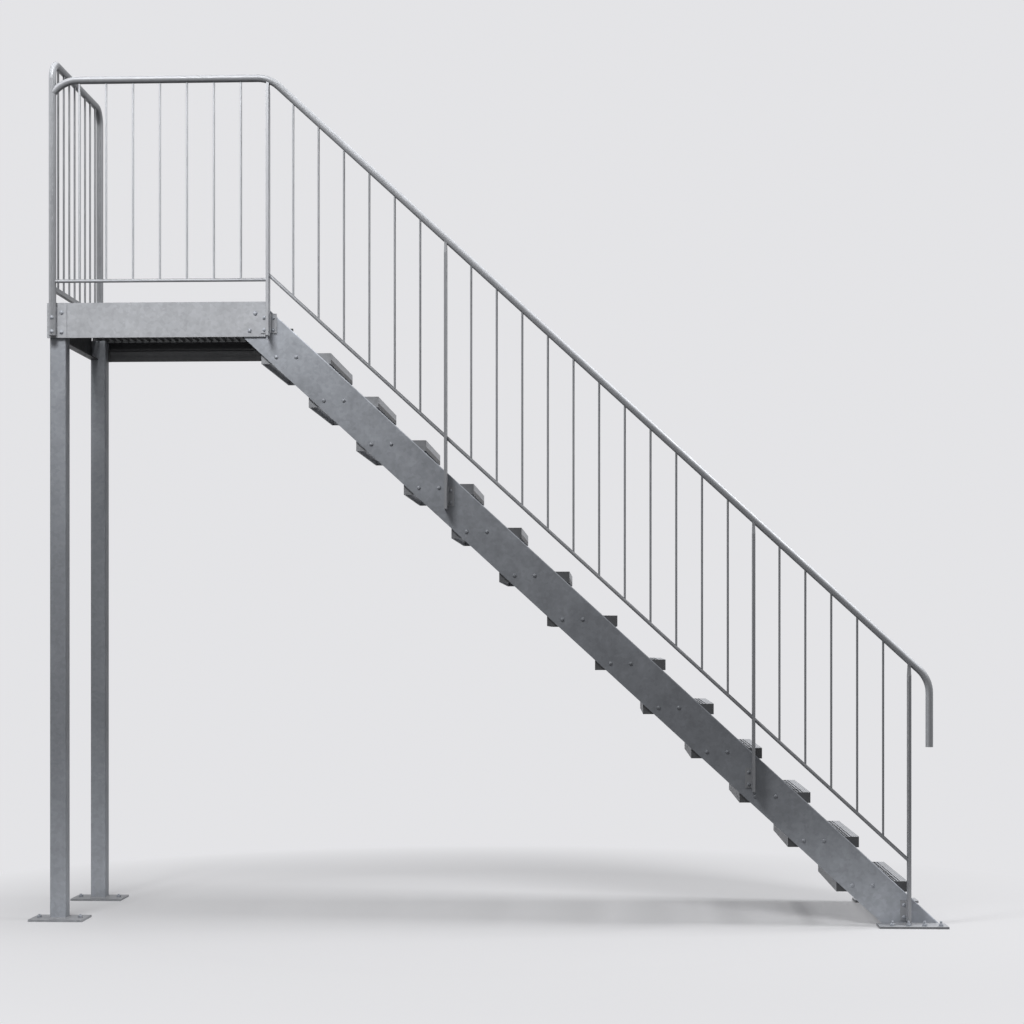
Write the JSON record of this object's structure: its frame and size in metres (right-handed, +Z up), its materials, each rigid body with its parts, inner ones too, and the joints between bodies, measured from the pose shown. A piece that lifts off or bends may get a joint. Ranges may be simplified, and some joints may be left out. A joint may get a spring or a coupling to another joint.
{
  "type": "fire escape stair",
  "caption": "Galvanised steel fire escape stair: a landing on square legs and a straight flight of open grating treads, guarded along one side and across the landing's end.",
  "frame": {"origin": "on the ground, under the middle of the near leg, at the middle of its plate", "axes": "+X down the flight, +Y from the guarded side to the open side, +Z up"},
  "size_m": [4.1692, 1.048, 3.955],
  "materials": {
    "leg_steel": "hot-dip galvanised, matt with a soft spangle",
    "plate_steel": "hot-dip galvanised, matt with a soft spangle",
    "frame_steel": "hot-dip galvanised, matt with a soft spangle",
    "stringer_steel": "hot-dip galvanised, matt with a soft spangle",
    "grating_steel": "hot-dip galvanised, matt with a soft spangle",
    "tube_steel": "hot-dip galvanised, matt with a soft spangle",
    "bar_steel": "hot-dip galvanised, matt with a soft spangle"
  },
  "bodies": {
    "root": {"near_leg": "leg_steel", "far_leg": "leg_steel", "near_leg_plate": "plate_steel", "far_leg_plate": "plate_steel", "near_foot_plate": "plate_steel", "far_foot_plate": "plate_steel", "near_beam": "frame_steel", "far_beam": "frame_steel", "near_corner_plate": "frame_steel", "far_corner_plate": "frame_steel", "near_ledger": "frame_steel", "far_ledger": "frame_steel", "end_beam": "frame_steel", "landing_trimmer": "frame_steel", "near_stringer": "stringer_steel", "far_stringer": "stringer_steel", "deck_grating": "grating_steel", "tread_01": "grating_steel", "tread_02": "grating_steel", "tread_03": "grating_steel", "tread_04": "grating_steel", "tread_05": "grating_steel", "tread_06": "grating_steel", "tread_07": "grating_steel", "tread_08": "grating_steel", "tread_09": "grating_steel", "tread_10": "grating_steel", "tread_11": "grating_steel", "tread_12": "grating_steel", "tread_13": "grating_steel", "handrail": "tube_steel", "end_guard": "tube_steel", "rail_post_1": "bar_steel", "rail_post_2": "bar_steel", "rail_post_3": "bar_steel", "rail_post_4": "bar_steel", "post_cleats": "bar_steel", "landing_panel": "bar_steel", "flight_panel_upper": "bar_steel", "flight_panel_middle": "bar_steel", "flight_panel_lower": "bar_steel"}
  },
  "joints": []
}
